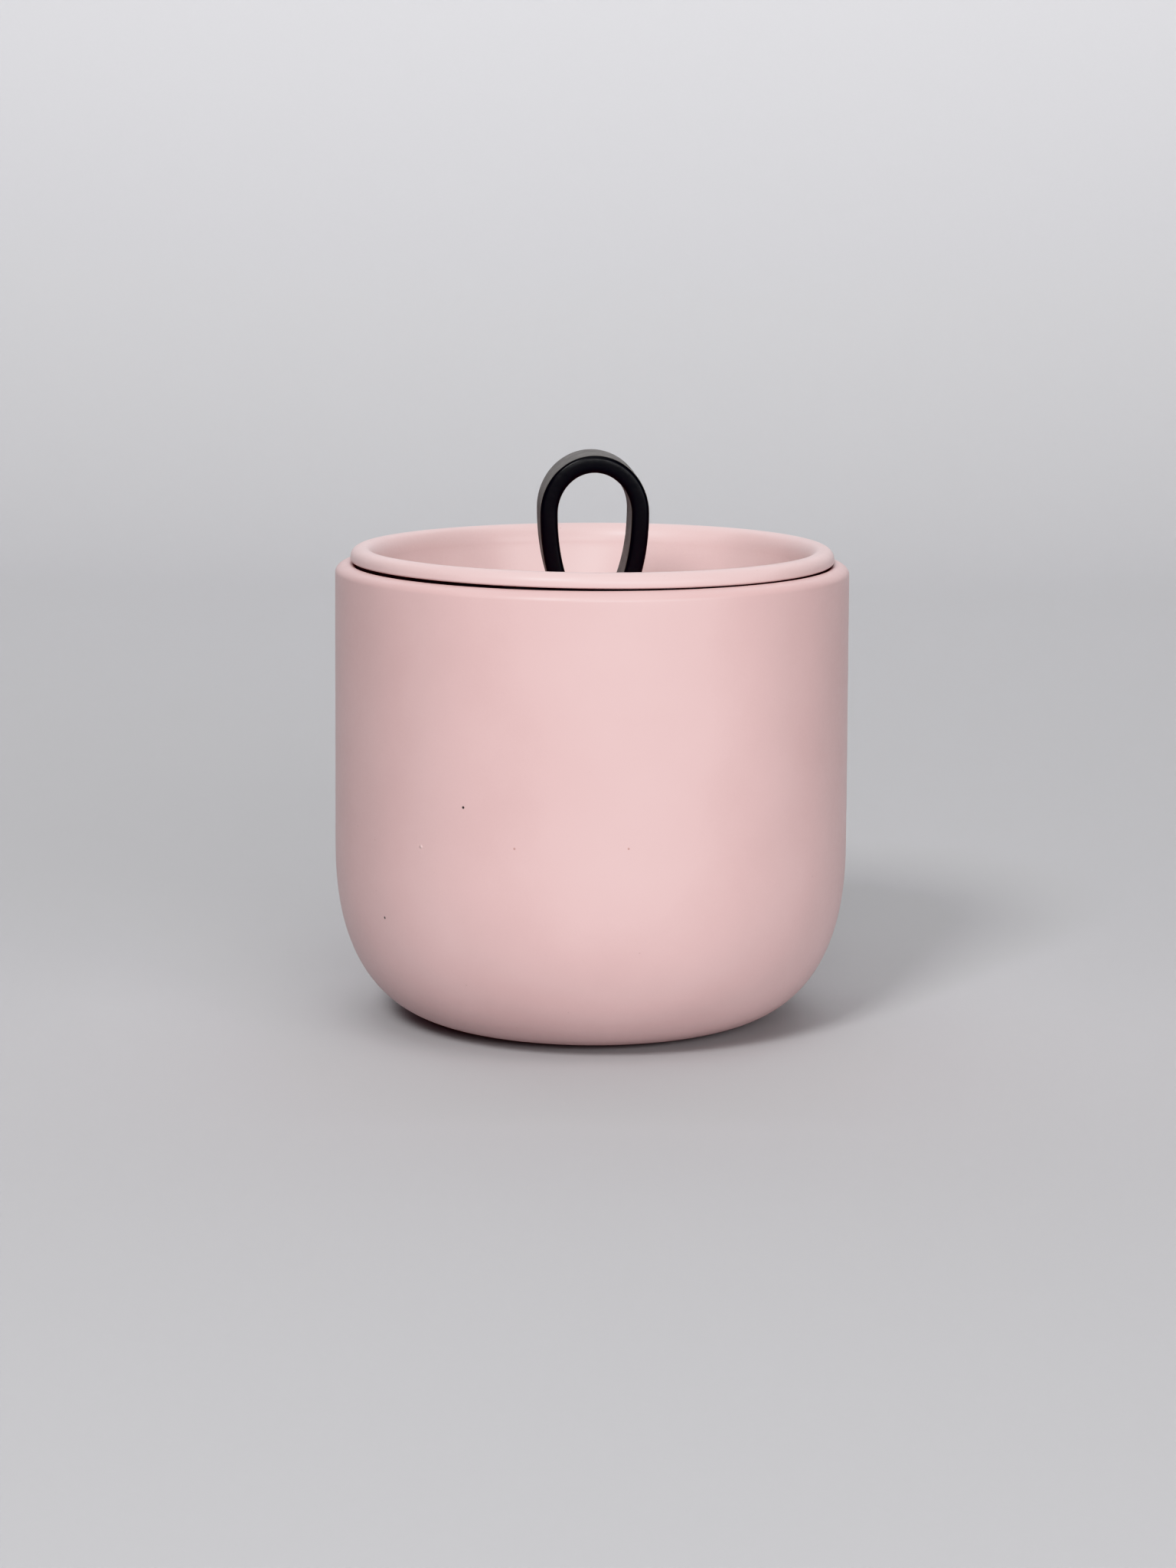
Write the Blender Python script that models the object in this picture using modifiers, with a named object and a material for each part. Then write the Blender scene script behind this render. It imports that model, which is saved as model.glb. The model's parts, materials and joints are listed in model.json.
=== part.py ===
"""Lidded ceramic candle jar: jar, dish lid with seal ring, and a strap handle held by a screw post.

Metres, +Z up. The origin is on the jar's axis, on the surface that it stands on.
"""
import math

import bmesh
import bpy
from mathutils import Matrix, Vector

# ---- driving dimensions -------------------------------------------------------------------
MM = 0.001
GAP = 0.3 * MM                      # air between two pieces that touch

FOOT_HEIGHT = 0.6 * MM              # foot ring below the body
FOOT_OUTER_R = 24.0 * MM
FOOT_INNER_R = 20.5 * MM
BASE_RECESS = 0.9 * MM              # height of the base inside the foot ring

BODY_R = 49.8 * MM                  # outer radius under the rim
BODY_LOW_R = 50.0 * MM              # outer radius where the bottom curve starts
JAR_HEIGHT = 90.0 * MM              # crest of the rim above the table
BOTTOM_CURVE = (25.5 * MM, 35.0 * MM)   # width and height of the outer bottom curve
BOTTOM_POWER = 2.4                  # superellipse power of both bottom curves
RIM_CREST_R = 47.2 * MM
RIM_OUTER_DROP = 1.8 * MM           # height of the rim's outer rounding
RIM_INNER_DROP = 2.6 * MM           # height of the rim's inner rounding
MOUTH_R = 45.4 * MM
INNER_LOW_R = 45.0 * MM
INNER_FLOOR_Z = 6.6 * MM
INNER_CURVE = (20.5 * MM, 30.0 * MM)    # width and height of the inner bottom curve

LIP_TOP_Z = 93.1 * MM               # lid's lip
LIP_UNDER_Z = 90.3 * MM
LIP_R = 46.85 * MM
LIP_OUTER_EDGE = (1.95 * MM, 1.9 * MM)  # width and height of the lip's outer rounding
LIP_INNER_EDGE = (2.4 * MM, 4.0 * MM)   # and of its flare into the dish
LIP_LOWER_EDGE = 0.5 * MM
DISH_WALL_R = 41.9 * MM             # inner radius under the flare
WALL_TAPER = math.radians(10)       # lean of the dish's wall, inwards and down
DISH_WALL = 3.0 * MM
DISH_FLOOR_Z = 73.0 * MM            # upper face of the lid's floor
DISH_FLOOR_THICK = 3.2 * MM
DISH_CURVE_R = 9.0 * MM             # inner radius between the wall and the floor

GROOVE_R = 43.9 * MM                # seal's groove in the lid's neck
GROOVE_LOW_Z = 87.0 * MM
NECK_R = 44.6 * MM
NECK_LOW_Z = 85.2 * MM
NECK_EASE = 0.4 * MM                # height of the slope from the neck to the wall
SEAL_LIP = (45.9 * MM, 0.5 * MM)    # radius and thickness of the seal's upper lip
SEAL_EDGE = (0.1 * MM, 0.2 * MM)    # width and height of the lip's eased upper edge
SEAL_ROOT = 0.4 * MM                # height of the slope under the lip

STRAP_THICK = 3.45 * MM
STRAP_WIDTH = 15.0 * MM
STRAP_EDGE = 0.5 * MM               # worn edge of the strap
HANDLE_TURN = math.radians(3.3)     # the handle's turn about the jar's axis
LOOP_TOP_Z = 111.4 * MM             # outer face at the top of the loop
LOOP_WIDEST_Z = 98.4 * MM
LOOP_HALF = 8.8 * MM                # half width of the loop, to the middle of the strap
PINCH_Z = 75.8 * MM                 # where the two legs meet, and the axis of the lean
LOW_PULL = 3.0 * MM                 # how long a leg stays upright above the pinch
HIGH_PULL = 16.0 * MM               # and below its widest place
PINCH_HALF = GAP / 2 + STRAP_THICK / 2
KNUCKLE_R = PINCH_HALF + STRAP_THICK / 2
STRAP_END_Z = 58.5 * MM             # lower end of the strap, under the lid

SLOT_CLEAR = GAP
SLOT_CORNER_R = 1.0 * MM

SCREW_HEAD_R = 4.5 * MM
SCREW_HEAD_THICK = 1.3 * MM
HEAD_EDGE = 0.4 * MM
POST_R = 2.1 * MM
POST_BORE_R = 1.6 * MM
SHANK_R = 1.3 * MM
DRIVE_SLOT = (0.9 * MM, 0.6 * MM)   # width and depth of the screwdriver slot
DRIVE_SLOT_TURN = math.radians(20)
THREAD_START = 0.45 * MM            # where the post's bore starts, behind its head
THREAD_END = 0.9 * MM               # how far the screw's tip stays from the post's head

TURN_STEPS = 64
SMALL_STEPS = 24
CURVE_STEPS = 6                     # steps in each small rounding of the lid and the rim
LEG_STEPS = 14
ARCH_STEPS = 24
KNUCKLE_STEPS = 5

# ---- sizes worked out from those above -------------------------------------------------------
DISH_UNDER_Z = DISH_FLOOR_Z - DISH_FLOOR_THICK
SCREW_Z = DISH_UNDER_Z - GAP - SCREW_HEAD_R
HEAD_INNER = KNUCKLE_R + GAP        # inner face of each screw head, from the strap's middle
POST_LENGTH = SCREW_HEAD_THICK + 2 * HEAD_INNER


# ---- scene helpers ---------------------------------------------------------------------------
def clear_scene():
    for old in list(bpy.data.objects):
        bpy.data.objects.remove(old, do_unlink=True)


def new_collection(name):
    group = bpy.data.collections.new(name)
    bpy.context.scene.collection.children.link(group)
    return group


def principled(name, colour, roughness, metallic=0.0):
    material = bpy.data.materials.new(name)
    material.use_nodes = True
    shader = material.node_tree.nodes["Principled BSDF"]
    shader.inputs["Base Color"].default_value = (*colour, 1.0)
    shader.inputs["Roughness"].default_value = roughness
    shader.inputs["Metallic"].default_value = metallic
    return material


def finish_piece(piece, group, material):
    """Put a piece in its collection, give it its material and shade it smooth."""
    for holder in list(piece.users_collection):
        holder.objects.unlink(piece)
    group.objects.link(piece)
    piece.data.materials.clear()
    piece.data.materials.append(material)
    piece.data.shade_smooth()
    return piece


def make_cutter(piece, group):
    for holder in list(piece.users_collection):
        holder.objects.unlink(piece)
    group.objects.link(piece)
    piece.hide_render = True
    piece.display_type = "WIRE"
    return piece


def cut(piece, cutter):
    hole = piece.modifiers.new("cut_" + cutter.name, "BOOLEAN")
    hole.operation = "DIFFERENCE"
    hole.solver = "EXACT"
    hole.object = cutter


def handle_matrix(height):
    """The handle's frame: X across the strap's faces, Y along its width, at a height."""
    return Matrix.Translation((0, 0, height)) @ Matrix.Rotation(HANDLE_TURN, 4, "Z")


# ---- turned shapes -----------------------------------------------------------------------------
def ellipse_arc(centre, size, start_deg, end_deg, steps, power=2.0):
    """Points of a (super)ellipse between two angles, counted from the outward direction."""
    points = []
    for step in range(steps + 1):
        angle = math.radians(start_deg + (end_deg - start_deg) * step / steps)
        across = math.copysign(abs(math.cos(angle)) ** (2 / power), math.cos(angle))
        up = math.copysign(abs(math.sin(angle)) ** (2 / power), math.sin(angle))
        points.append((centre[0] + size[0] * across, centre[1] + size[1] * up))
    return points


def joined(*runs):
    """One outline from several runs of points, without repeated points."""
    outline = []
    for run in runs:
        for point in run:
            if not outline or math.dist(point, outline[-1]) > 0.01 * MM:
                outline.append(point)
    return outline


def turned(name, outline, closed, steps):
    """A body of revolution: the outline runs down its outer side."""
    mesh = bpy.data.meshes.new(name)
    shape = bmesh.new()
    points = [shape.verts.new((radius, 0.0, height)) for radius, height in outline]
    for first, second in zip(points, points[1:]):
        shape.edges.new((first, second))
    if closed:
        shape.edges.new((points[-1], points[0]))
    shape.to_mesh(mesh)
    shape.free()
    piece = bpy.data.objects.new(name, mesh)
    bpy.context.scene.collection.objects.link(piece)
    screw = piece.modifiers.new("turn", "SCREW")
    screw.axis = "Z"
    screw.steps = steps
    screw.render_steps = steps
    screw.use_merge_vertices = True
    screw.merge_threshold = 0.01 * MM
    screw.use_smooth_shade = True
    return piece


def jar_outline():
    """From the middle of the inner floor, up the inside, over the rim and down the outside."""
    inner_centre = (INNER_LOW_R - INNER_CURVE[0], INNER_FLOOR_Z + INNER_CURVE[1])
    inside = ellipse_arc(inner_centre, INNER_CURVE, -90, 0, 2 * CURVE_STEPS, BOTTOM_POWER)
    rim_inner_centre = (RIM_CREST_R, JAR_HEIGHT - RIM_INNER_DROP)
    rim_inner_size = (RIM_CREST_R - MOUTH_R, RIM_INNER_DROP)
    rim_inner = ellipse_arc(rim_inner_centre, rim_inner_size, 180, 90, CURVE_STEPS)
    rim_outer_centre = (RIM_CREST_R, JAR_HEIGHT - RIM_OUTER_DROP)
    rim_outer_size = (BODY_R - RIM_CREST_R, RIM_OUTER_DROP)
    rim_outer = ellipse_arc(rim_outer_centre, rim_outer_size, 90, 0, CURVE_STEPS)
    outer_centre = (BODY_LOW_R - BOTTOM_CURVE[0], FOOT_HEIGHT + BOTTOM_CURVE[1])
    outside = ellipse_arc(outer_centre, BOTTOM_CURVE, 0, -90, 2 * CURVE_STEPS, BOTTOM_POWER)
    foot = [
        (FOOT_OUTER_R, 0.0),
        (FOOT_INNER_R, 0.0),
        (FOOT_INNER_R - GAP, BASE_RECESS),
        (0.0, BASE_RECESS),
    ]
    return joined([(0.0, INNER_FLOOR_Z)], inside, rim_inner, rim_outer, outside, foot)


def wall_radius(height):
    """Inner radius of the dish's tapered wall at a height."""
    flare_end = LIP_TOP_Z - LIP_INNER_EDGE[1]
    return DISH_WALL_R - (flare_end - height) * math.tan(WALL_TAPER)


def lid_outline():
    """From the middle of the dish, up its wall, over the lip, past the seal's groove and under."""
    taper_deg = math.degrees(WALL_TAPER)
    centre_z = DISH_FLOOR_Z + DISH_CURVE_R
    tangent_z = centre_z - DISH_CURVE_R * math.sin(WALL_TAPER)
    centre = (wall_radius(tangent_z) - DISH_CURVE_R * math.cos(WALL_TAPER), centre_z)
    dish = ellipse_arc(centre, (DISH_CURVE_R, DISH_CURVE_R), -90, -taper_deg, CURVE_STEPS)
    flare_centre = (DISH_WALL_R + LIP_INNER_EDGE[0], LIP_TOP_Z - LIP_INNER_EDGE[1])
    flare = ellipse_arc(flare_centre, LIP_INNER_EDGE, 180, 90, CURVE_STEPS)
    edge_centre = (LIP_R - LIP_OUTER_EDGE[0], LIP_TOP_Z - LIP_OUTER_EDGE[1])
    edge = ellipse_arc(edge_centre, LIP_OUTER_EDGE, 90, 0, CURVE_STEPS)
    low_centre = (LIP_R - LIP_LOWER_EDGE, LIP_UNDER_Z + LIP_LOWER_EDGE)
    low_edge = ellipse_arc(low_centre, (LIP_LOWER_EDGE, LIP_LOWER_EDGE), 0, -90, CURVE_STEPS // 2)
    neck_end_z = NECK_LOW_Z - NECK_EASE
    outer_wall = DISH_WALL / math.cos(WALL_TAPER)
    neck = [
        (GROOVE_R, LIP_UNDER_Z),
        (GROOVE_R, GROOVE_LOW_Z),
        (NECK_R, GROOVE_LOW_Z),
        (NECK_R, NECK_LOW_Z),
        (wall_radius(neck_end_z) + outer_wall, neck_end_z),
    ]
    under_size = (DISH_CURVE_R + DISH_WALL, DISH_CURVE_R + DISH_FLOOR_THICK)
    under = ellipse_arc(centre, under_size, -taper_deg, -90, CURVE_STEPS)
    return joined([(0.0, DISH_FLOOR_Z)], dish, flare, edge, low_edge, neck, under, [(0.0, DISH_UNDER_Z)])


def seal_outline():
    """A sleeve in the lid's groove with a lip between the lid's flange and the jar's rim."""
    top_z = LIP_UNDER_Z - GAP
    low_z = GROOVE_LOW_Z + GAP
    sleeve_r = MOUTH_R - GAP
    lip_low_z = top_z - SEAL_LIP[1]
    return [
        (GROOVE_R + GAP, top_z),
        (SEAL_LIP[0] - SEAL_EDGE[0], top_z),
        (SEAL_LIP[0], top_z - SEAL_EDGE[1]),
        (SEAL_LIP[0] - SEAL_EDGE[0], lip_low_z),
        (sleeve_r, lip_low_z - SEAL_ROOT),
        (sleeve_r, low_z),
        (GROOVE_R + GAP, low_z),
    ]


def build_jar(group, glaze):
    return finish_piece(turned("jar_body", jar_outline(), False, TURN_STEPS), group, glaze)


def build_lid(group, cutters, glaze):
    lid = finish_piece(turned("lid_dish", lid_outline(), False, TURN_STEPS), group, glaze)
    bpy.ops.mesh.primitive_cube_add(size=1)
    slot = make_cutter(bpy.context.active_object, cutters)
    slot.name = "lid_slot_cutter"
    size = (2 * (KNUCKLE_R + SLOT_CLEAR), STRAP_WIDTH + 2 * SLOT_CLEAR, 4 * DISH_FLOOR_THICK)
    slot.data.transform(Matrix.Diagonal((*size, 1.0)))
    slot.matrix_world = handle_matrix(DISH_FLOOR_Z - DISH_FLOOR_THICK / 2)
    corner = slot.modifiers.new("corner", "BEVEL")
    corner.width = SLOT_CORNER_R
    corner.segments = 3
    corner.limit_method = "ANGLE"
    cut(lid, slot)
    return lid


def build_seal(group, rubber):
    return finish_piece(turned("seal_ring", seal_outline(), True, TURN_STEPS), group, rubber)


# ---- strap ---------------------------------------------------------------------------------------
def loop_centreline():
    """Middle line of the loop as (across, height over the pinch), from one leg to the other."""
    rise = LOOP_WIDEST_Z - PINCH_Z
    crown = LOOP_TOP_Z - STRAP_THICK / 2 - LOOP_WIDEST_Z
    leg = []
    for step in range(LEG_STEPS):
        t = step / LEG_STEPS
        low_weight = 3 * (1 - t) ** 2 * t
        high_weight = 3 * (1 - t) * t ** 2
        across = PINCH_HALF + (LOOP_HALF - PINCH_HALF) * (high_weight + t ** 3)
        height = low_weight * LOW_PULL + high_weight * (rise - HIGH_PULL) + t ** 3 * rise
        leg.append((across, height))
    arch = ellipse_arc((0.0, rise), (LOOP_HALF, crown), 0, 180, ARCH_STEPS)
    other_leg = [(-across, height) for across, height in reversed(leg)]
    return leg + arch + other_leg


def offset_line(line, distance):
    """The line moved sideways by a distance, to its right as it runs."""
    moved = []
    last = len(line) - 1
    for index, point in enumerate(line):
        before = Vector(line[max(index - 1, 0)])
        after = Vector(line[min(index + 1, last)])
        along = (after - before).normalized()
        moved.append((point[0] + along.y * distance, point[1] - along.x * distance))
    return moved


def knuckle_end(side):
    """Round lower end of one leg, centred on the axis of the lean."""
    inner = math.acos(GAP / 2 / KNUCKLE_R)
    points = []
    for step in range(KNUCKLE_STEPS + 1):
        angle = inner * step / KNUCKLE_STEPS
        points.append((side * KNUCKLE_R * math.cos(angle), -KNUCKLE_R * math.sin(angle)))
    return points


def loop_outline():
    """Closed outline of the loop: outer side, one leg's end, inner side, the other leg's end."""
    line = loop_centreline()
    outer = offset_line(line, STRAP_THICK / 2)
    inner = offset_line(line, -STRAP_THICK / 2)
    right_end = list(reversed(knuckle_end(1)))
    left_end = knuckle_end(-1)
    return joined(outer[1:-1], left_end, reversed(inner[1:-1]), right_end)


def build_loop(group, leather):
    curve = bpy.data.curves.new("loop_outline", "CURVE")
    curve.dimensions = "2D"
    curve.fill_mode = "BOTH"
    curve.extrude = STRAP_WIDTH / 2
    outline = loop_outline()
    spline = curve.splines.new("POLY")
    spline.points.add(len(outline) - 1)
    for point, (across, height) in zip(spline.points, outline):
        point.co = (across, height, 0.0, 1.0)
    spline.use_cyclic_u = True
    flat = bpy.data.objects.new("loop_outline", curve)
    bpy.context.scene.collection.objects.link(flat)
    flat.matrix_world = handle_matrix(PINCH_Z) @ Matrix.Rotation(math.radians(90), 4, "X")
    bpy.context.view_layer.update()
    mesh = bpy.data.meshes.new_from_object(flat.evaluated_get(bpy.context.evaluated_depsgraph_get()))
    mesh.name = "handle_loop"
    shape = bmesh.new()
    shape.from_mesh(mesh)
    bmesh.ops.remove_doubles(shape, verts=shape.verts, dist=0.01 * MM)
    shape.to_mesh(mesh)
    shape.free()
    loop = bpy.data.objects.new("handle_loop", mesh)
    bpy.context.scene.collection.objects.link(loop)
    loop.matrix_world = flat.matrix_world
    bpy.data.objects.remove(flat, do_unlink=True)
    edge = loop.modifiers.new("worn_edge", "BEVEL")
    edge.width = STRAP_EDGE
    edge.segments = 2
    edge.limit_method = "ANGLE"
    edge.angle_limit = math.radians(60)
    return finish_piece(loop, group, leather)


def build_strap_end(name, side, group, cutters, leather):
    """One end of the strap below the pinch, with the hole for the screw post."""
    top_z = PINCH_Z - KNUCKLE_R - GAP
    bpy.ops.mesh.primitive_cube_add(size=1)
    end = bpy.context.active_object
    end.name = name
    end.data.transform(Matrix.Diagonal((STRAP_THICK, STRAP_WIDTH, top_z - STRAP_END_Z, 1.0)))
    middle = (top_z + STRAP_END_Z) / 2
    end.matrix_world = handle_matrix(middle) @ Matrix.Translation((side * PINCH_HALF, 0, 0))
    edge = end.modifiers.new("worn_edge", "BEVEL")
    edge.width = STRAP_EDGE
    edge.segments = 2
    bpy.ops.mesh.primitive_cylinder_add(vertices=SMALL_STEPS, radius=POST_R + GAP, depth=3 * STRAP_THICK)
    hole = make_cutter(bpy.context.active_object, cutters)
    hole.name = name + "_hole_cutter"
    across = Matrix.Rotation(math.radians(90), 4, "Y")
    hole.matrix_world = handle_matrix(SCREW_Z) @ Matrix.Translation((side * PINCH_HALF, 0, 0)) @ across
    cut(end, hole)
    return finish_piece(end, group, leather)


# ---- screw post --------------------------------------------------------------------------------------
def head_outline(thickness, stem_r):
    """Outer side of a flat head with an eased edge, from its stem to the middle of its face."""
    return [
        (stem_r, thickness),
        (SCREW_HEAD_R, thickness),
        (SCREW_HEAD_R, HEAD_EDGE),
        (SCREW_HEAD_R - HEAD_EDGE, 0.0),
        (0.0, 0.0),
    ]


def build_post(group, steel):
    """The hollow half of the screw post, its head on the -X side of the strap."""
    tip = POST_LENGTH - GAP
    bore_end = SCREW_HEAD_THICK + THREAD_START
    barrel = [(0.0, bore_end), (POST_BORE_R, bore_end), (POST_BORE_R, tip), (POST_R, tip)]
    post = turned("screw_post", barrel + head_outline(SCREW_HEAD_THICK, POST_R), False, SMALL_STEPS)
    face = Matrix.Translation((-HEAD_INNER - SCREW_HEAD_THICK, 0, 0))
    post.matrix_world = handle_matrix(SCREW_Z) @ face @ Matrix.Rotation(math.radians(90), 4, "Y")
    return finish_piece(post, group, steel)


def build_screw(group, cutters, steel):
    """The screw that closes the post, its head on the +X side of the strap."""
    tip = POST_LENGTH - THREAD_END
    shank = [(0.0, tip), (SHANK_R - GAP, tip), (SHANK_R, tip - GAP)]
    screw = turned("post_screw", shank + head_outline(SCREW_HEAD_THICK, SHANK_R), False, SMALL_STEPS)
    face = Matrix.Translation((HEAD_INNER + SCREW_HEAD_THICK, 0, 0))
    placed = handle_matrix(SCREW_Z) @ face @ Matrix.Rotation(math.radians(-90), 4, "Y")
    screw.matrix_world = placed
    bpy.ops.mesh.primitive_cube_add(size=1)
    slot = make_cutter(bpy.context.active_object, cutters)
    slot.name = "drive_slot_cutter"
    slot.data.transform(Matrix.Diagonal((DRIVE_SLOT[0], 3 * SCREW_HEAD_R, 2 * DRIVE_SLOT[1], 1.0)))
    slot.matrix_world = placed @ Matrix.Rotation(DRIVE_SLOT_TURN, 4, "Z")
    cut(screw, slot)
    return finish_piece(screw, group, steel)


def main():
    clear_scene()
    group = new_collection("candle_jar")
    cutters = new_collection("cutters")
    glaze = principled("pink_glaze", (0.72, 0.53, 0.53), 0.45)
    lid_glaze = principled("pink_lid_glaze", (0.72, 0.53, 0.53), 0.45)
    rubber = principled("black_silicone", (0.012, 0.012, 0.013), 0.6)
    leather = principled("black_leather", (0.012, 0.012, 0.014), 0.5)
    end_leather = principled("black_leather_end", (0.012, 0.012, 0.014), 0.55)
    steel = principled("nickel_post", (0.62, 0.60, 0.57), 0.3, 1.0)
    screw_steel = principled("nickel_screw", (0.62, 0.60, 0.57), 0.3, 1.0)
    build_jar(group, glaze)
    build_lid(group, cutters, lid_glaze)
    build_seal(group, rubber)
    build_loop(group, leather)
    build_strap_end("strap_end_left", -1, group, cutters, end_leather)
    build_strap_end("strap_end_right", 1, group, cutters, end_leather)
    build_post(group, steel)
    build_screw(group, cutters, screw_steel)


main()
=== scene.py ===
"""Looks of a lidded ceramic candle jar with a leather loop handle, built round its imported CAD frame.

Lengths are in metres, +Z is up and the front faces -Y. The heights and radii that the fine pieces
share with the CAD come from the boxes of its nodes and from the joint of the handle.
"""
import json
import math

import bmesh
import bpy
from mathutils import Matrix, Vector, noise


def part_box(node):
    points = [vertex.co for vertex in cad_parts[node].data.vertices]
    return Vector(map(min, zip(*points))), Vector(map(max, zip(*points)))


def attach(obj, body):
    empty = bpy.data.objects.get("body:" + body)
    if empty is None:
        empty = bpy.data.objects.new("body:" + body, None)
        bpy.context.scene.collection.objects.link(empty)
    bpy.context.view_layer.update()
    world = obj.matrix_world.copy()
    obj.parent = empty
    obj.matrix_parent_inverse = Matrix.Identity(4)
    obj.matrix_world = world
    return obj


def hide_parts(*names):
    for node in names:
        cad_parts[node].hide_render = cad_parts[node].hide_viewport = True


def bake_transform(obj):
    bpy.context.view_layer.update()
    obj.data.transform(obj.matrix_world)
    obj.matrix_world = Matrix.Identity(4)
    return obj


MM = 0.001

# ---- the jar's shape, inwards from the outer box --------------------------------------------------
WALL_TAPER_OUT = 0.2 * MM           # how much narrower the wall is under the rim than low down
BOTTOM_CURVE = (25.5 * MM, 35.0 * MM)
INNER_CURVE = (20.5 * MM, 30.0 * MM)
BOTTOM_POWER = 2.4
RIM_OUTER = (2.6 * MM, 1.8 * MM)    # width and height of the rim's rounding, outside
RIM_INNER = (1.8 * MM, 2.6 * MM)    # and inside
WALL_INNER_LOW_R = 45.0 * MM
INNER_FLOOR_Z = 6.6 * MM
FOOT_HEIGHT = 0.6 * MM
FOOT_R = (20.5 * MM, 24.0 * MM)
BASE_RECESS = 0.9 * MM
FOOT_EDGE = 0.2 * MM                # eased edges of the foot ring
WALL_WAVES = 0.012 * MM             # depth of the faint turning waves in the walls
WAVE_DRIFT = 0.4 * MM               # how far a wave climbs on its way round
WAVES_PER_M = 210
SWELLS_PER_M = 30

# ---- the lid's shape --------------------------------------------------------------------------------
LIP_THICK = 2.8 * MM
LIP_OUTER = (1.95 * MM, 1.9 * MM)
LIP_INNER = (2.4 * MM, 4.0 * MM)
LIP_LOWER = 0.5 * MM
DISH_WALL_R = 41.9 * MM
DISH_TAPER = math.radians(10)
DISH_WALL = 3.0 * MM
DISH_FLOOR = 3.2 * MM
DISH_CURVE = 9.0 * MM
GROOVE_R = 43.9 * MM
NECK_R = 44.6 * MM
GROOVE_EDGE = 0.1 * MM
GROOVE_GAP = 0.3 * MM               # between the seal's lower end and the groove's floor
NECK_DROP = 1.8 * MM                # height of the neck under the seal's groove
NECK_EDGE = 0.2 * MM
NECK_FOOT = 0.4 * MM                # height in which the neck runs into the dish's underside
LIP_WARP = 0.18 * MM                # the fired lip is not quite flat
SLOT_PLAY = (0.45 * MM, 0.3 * MM)   # round the strap, across its faces and along its width
SLOT_CORNER = 1.4 * MM
SLOT_EASE = 0.8 * MM                # rounded edge of the slot, where the glaze pulls back

# ---- the seal ---------------------------------------------------------------------------------------
SEAL_PLAY = 0.12 * MM               # between the seal and the lid
SLEEVE_THICK = 0.95 * MM
SLEEVE_EDGE = 0.1 * MM
SEAL_LIP = (                        # (outwards, down) from the upper corner of its lip
    (-0.15 * MM, 0.0),
    (0.05 * MM, 0.2 * MM),
    (-0.1 * MM, 0.55 * MM),
)
LIP_ROOT = (0.15 * MM, 0.95 * MM)   # (outwards, down) where the lip leaves the sleeve
FIN_LEVELS = (0.55, 0.2)            # shares of the seal's height
FIN = (                             # (outwards, up) round one fin
    (0.0, 0.35 * MM),
    (0.22 * MM, 0.08 * MM),
    (0.22 * MM, -0.08 * MM),
    (0.0, -0.2 * MM),
)

# ---- the strap --------------------------------------------------------------------------------------
STRAP_THICK = 3.45 * MM
STRAP_WIDTH = 15.0 * MM
STRAP_EDGE = 0.75 * MM              # rounding of the cut edges
STRAP_DOME = 0.12 * MM              # how far the cut edge bulges
STRAP_GAP = 0.16 * MM               # between the two legs, where they meet
LOOP_HALF = 8.8 * MM
LOOP_CROWN = 11.3 * MM              # from the widest place of the loop to its top
LOW_PULL = 3.0 * MM
HIGH_PULL = 16.0 * MM
HOLE_PLAY = 0.15 * MM               # between the strap's hole and the post

# ---- the screw post ---------------------------------------------------------------------------------
HEAD_THICK = 1.3 * MM
HEAD_EDGE = 0.4 * MM
HEAD_BACK_EDGE = 0.1 * MM
HEAD_DOME = 0.08 * MM
HEAD_GAP = 0.45 * MM                # from the strap's face to the back of a head
POST_R = 2.1 * MM
POST_EDGE = 0.1 * MM
BORE_PLAY = 0.3 * MM                # between the post's bore and the screw's shank
BORE_FLARE = (0.15 * MM, 0.2 * MM)  # width and depth of the flare at the bore's mouth
BORE_FLOOR = 0.45 * MM              # from the head's back to the bore's floor
SHANK_R = 1.3 * MM
SHANK_TIP = 0.3 * MM                # the shank's point
THREAD_PITCH = 0.5 * MM
THREAD_DEPTH = 0.16 * MM
DRIVE_SLOT = (0.9 * MM, 0.6 * MM)   # width and depth
DRIVE_EDGE = 0.12 * MM              # flare of the slot at the head's face
DRIVE_TURN = math.radians(20)

# ---- camera and colours -----------------------------------------------------------------------------
CAMERA_PLACE = (-0.0006, -0.7837, 0.1781)
CAMERA_PITCH = math.radians(9.543)
CAMERA_ROLL = math.radians(0.311)
CAMERA_LENS = 93.16
CAMERA_SENSOR = 36.0

# Colours, linear
JAR_PINKS = ((0.585, 0.395, 0.390), (0.625, 0.430, 0.425))      # thick and thin glaze
LID_PINKS_PAINTED_LIGHT = ((0.640, 0.472, 0.466), (0.680, 0.506, 0.500))      # the jar's glaze painted paler: painted light for the dish's inside, which the lamps leave too dark
PINK_THIN = (0.78, 0.62, 0.60)      # where the glaze lies thin over a pimple
PINK_GRAIN = (0.50, 0.31, 0.30)
PINK_PIT = (0.42, 0.25, 0.24)
CLAY = (0.62, 0.53, 0.46)
CLAY_PALE = (0.70, 0.62, 0.54)
CLAY_GRIT = (0.33, 0.25, 0.20)
SPECK = (0.03, 0.022, 0.02)
FAINT_SPECK = (0.40, 0.22, 0.20)
BLACK = (0.0032, 0.0032, 0.0044)
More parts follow.
